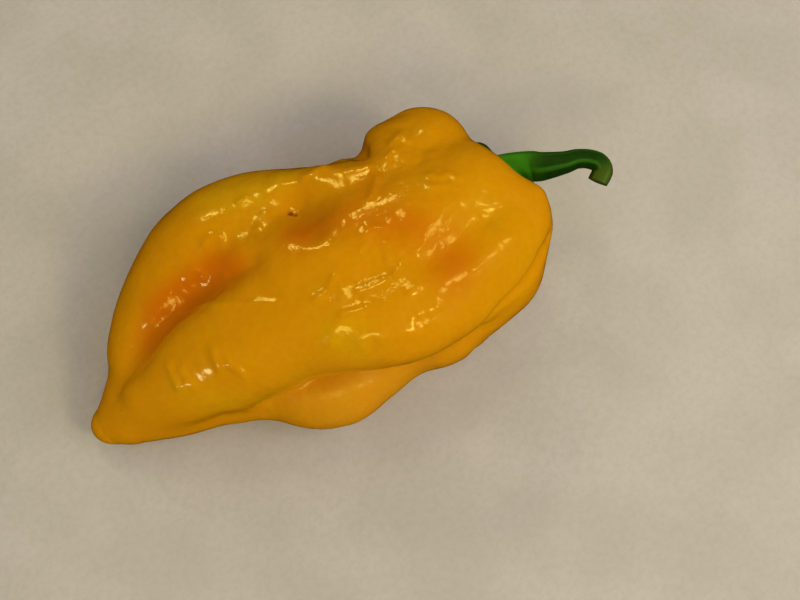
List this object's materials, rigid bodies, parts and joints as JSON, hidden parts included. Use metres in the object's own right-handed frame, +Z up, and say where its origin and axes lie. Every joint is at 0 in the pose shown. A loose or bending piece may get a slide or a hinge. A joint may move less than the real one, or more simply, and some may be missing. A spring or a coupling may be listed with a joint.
{
  "type": "chilli pepper",
  "caption": "Yellow habanero-type chilli pepper with lobed, wrinkled fruit, green calyx and short hooked stalk, lying on its side.",
  "frame": {"origin": "on the resting surface, under the middle of the whole chilli's bounding box", "axes": "+X runs from the tip of the fruit to its stalk, +Z is up as it lies, +Y is the side away from the hooked end of the stalk"},
  "size_m": [0.0686, 0.0347, 0.0225],
  "materials": {
    "pod_skin": "waxy, glossy golden yellow-orange fruit skin with fine wrinkles, deeper orange in the furrows",
    "calyx_skin": "satin mid-green sepals, paler at the seat of the stalk",
    "stalk_skin": "satin dark green ribbed stalk, paler along the ribs, olive at the torn end"
  },
  "bodies": {
    "root": {"pod": "pod_skin", "calyx": "calyx_skin", "stalk": "stalk_skin"}
  },
  "joints": []
}
